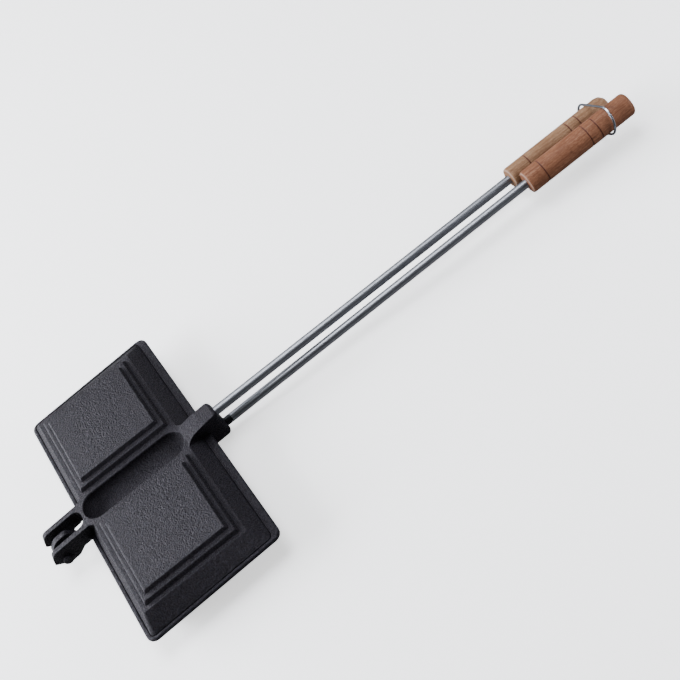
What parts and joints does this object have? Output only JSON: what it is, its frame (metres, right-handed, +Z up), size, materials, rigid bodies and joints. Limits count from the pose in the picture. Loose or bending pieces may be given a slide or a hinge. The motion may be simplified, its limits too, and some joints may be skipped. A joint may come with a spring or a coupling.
{
  "type": "pie iron",
  "caption": "Hinged cast iron sandwich press for an open fire: stepped shells shut face to face on long steel rods with turned wooden grips, kept closed by a sliding wire ring.",
  "frame": {"origin": "centre of the bounding box of the closed part, which lies in the plane where the two halves meet", "axes": "+X from the hinge towards the grips, +Y across the head, +Z up and square to the plane where the halves meet"},
  "size_m": [0.6256, 0.2742, 0.0434],
  "materials": {
    "iron": "as cast, matt black",
    "steel": "bright plated rod",
    "wood": "oiled beech with burnt grooves",
    "wire": "bright plated wire"
  },
  "bodies": {
    "lower_half": {"lower_casting": "iron", "hinge_rivet": "iron", "lower_rod": "steel", "lower_grip": "wood"},
    "upper_half": {"upper_casting": "iron", "upper_rod": "steel", "upper_grip": "wood"},
    "latch": {"latch_ring": "wire"}
  },
  "joints": [
    {"name": "head_hinge", "type": "hinge", "parent": "lower_half", "child": "upper_half", "pos_m": [-0.30161, 0, 0], "axis": [0, -1, 0], "range_deg": [0, 180]},
    {"name": "ring_slide", "type": "slide", "parent": "lower_half", "child": "latch", "axis": [0.9994, -0.0332, 0], "range_m": [0, 0.04]}
  ]
}
